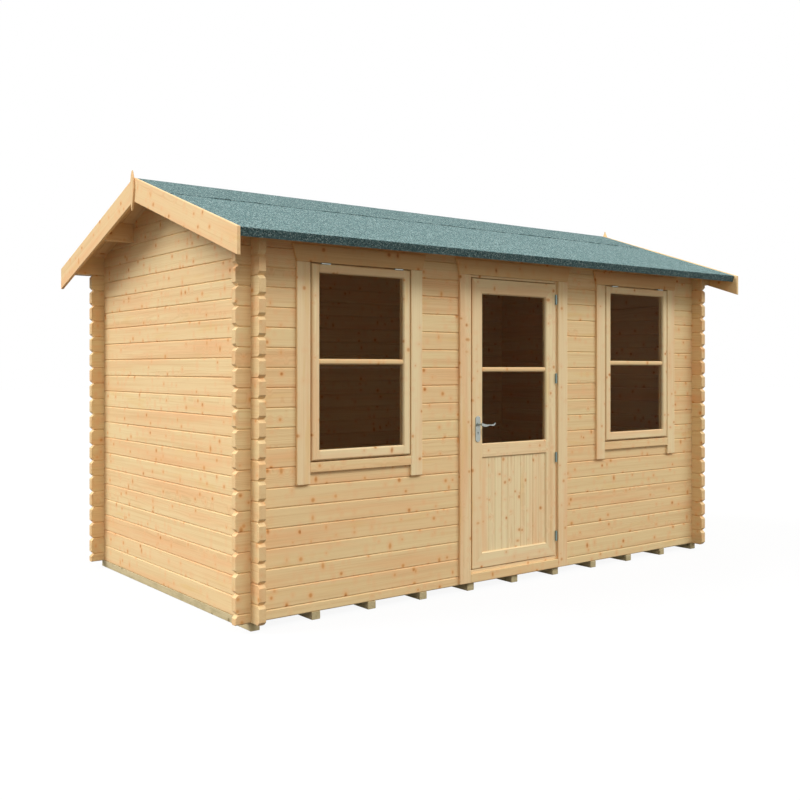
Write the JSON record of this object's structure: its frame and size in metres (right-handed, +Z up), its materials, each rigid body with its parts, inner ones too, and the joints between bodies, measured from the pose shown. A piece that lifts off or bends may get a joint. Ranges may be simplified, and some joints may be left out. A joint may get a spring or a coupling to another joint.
{
  "type": "log cabin",
  "caption": "Small garden log cabin of interlocking planed logs on treated bearers, with a felted ridge roof, a hinged part-glazed door and fixed windows beside it.",
  "frame": {"origin": "on the ground below the middle of the cabin, at the underside of the bearers", "axes": "+X along the ridge to the right of the door seen from outside, -Y out of the door, +Z up"},
  "size_m": [4.549, 2.782, 2.7296],
  "materials": {
    "treated_timber": "sawn, pressure treated",
    "spruce_logs": "planed, untreated",
    "spruce_boards": "planed, untreated",
    "planed_spruce": "smooth planed",
    "mineral_felt": "green mineral grit",
    "window_glass": "clear",
    "satin_steel": "satin"
  },
  "bodies": {
    "cabin": {"back_roof_boards": "spruce_boards", "back_roof_felt": "mineral_felt", "back_wall_logs": "spruce_logs", "door_frame": "planed_spruce", "door_inner_trim": "planed_spruce", "door_outer_trim": "planed_spruce", "eaves_battens": "spruce_boards", "floor_bearers": "treated_timber", "floor_boards": "spruce_boards", "frame_hinge_halves": "satin_steel", "front_roof_boards": "spruce_boards", "front_roof_felt": "mineral_felt", "front_wall_left_logs": "spruce_logs", "front_wall_right_logs": "spruce_logs", "front_wall_top_log": "spruce_logs", "left_back_bargeboard": "planed_spruce", "left_finial": "planed_spruce", "left_front_bargeboard": "planed_spruce", "left_wall_logs": "spruce_logs", "left_window_frame": "planed_spruce", "left_window_glass": "window_glass", "left_window_hinges": "satin_steel", "left_window_inner_trim": "planed_spruce", "left_window_outer_trim": "planed_spruce", "left_window_sash": "planed_spruce", "ridge_felt": "mineral_felt", "right_back_bargeboard": "planed_spruce", "right_finial": "planed_spruce", "right_front_bargeboard": "planed_spruce", "right_wall_logs": "spruce_logs", "right_window_frame": "planed_spruce", "right_window_glass": "window_glass", "right_window_hinges": "satin_steel", "right_window_inner_trim": "planed_spruce", "right_window_outer_trim": "planed_spruce", "right_window_sash": "planed_spruce", "roof_purlins": "spruce_boards"},
    "door": {"door_glass": "window_glass", "door_glazing_bars": "planed_spruce", "door_handle_plates": "satin_steel", "door_hinge_halves": "satin_steel", "door_leaf_frame": "planed_spruce", "door_panel": "planed_spruce"},
    "lever": {"door_lever": "satin_steel"}
  },
  "joints": [
    {"name": "door_swing", "type": "hinge", "parent": "cabin", "child": "door", "pos_m": [0.397, -1.148, 1.1025], "axis": [0, 0, 1], "range_deg": [0, 170]},
    {"name": "lever_turn", "type": "hinge", "parent": "door", "child": "lever", "pos_m": [-0.347, -1.141, 1.098], "axis": [0, 1, 0], "range_deg": [0, 40], "stiffness_Nm_per_rad": 0.9, "springref_deg": -34.38}
  ]
}
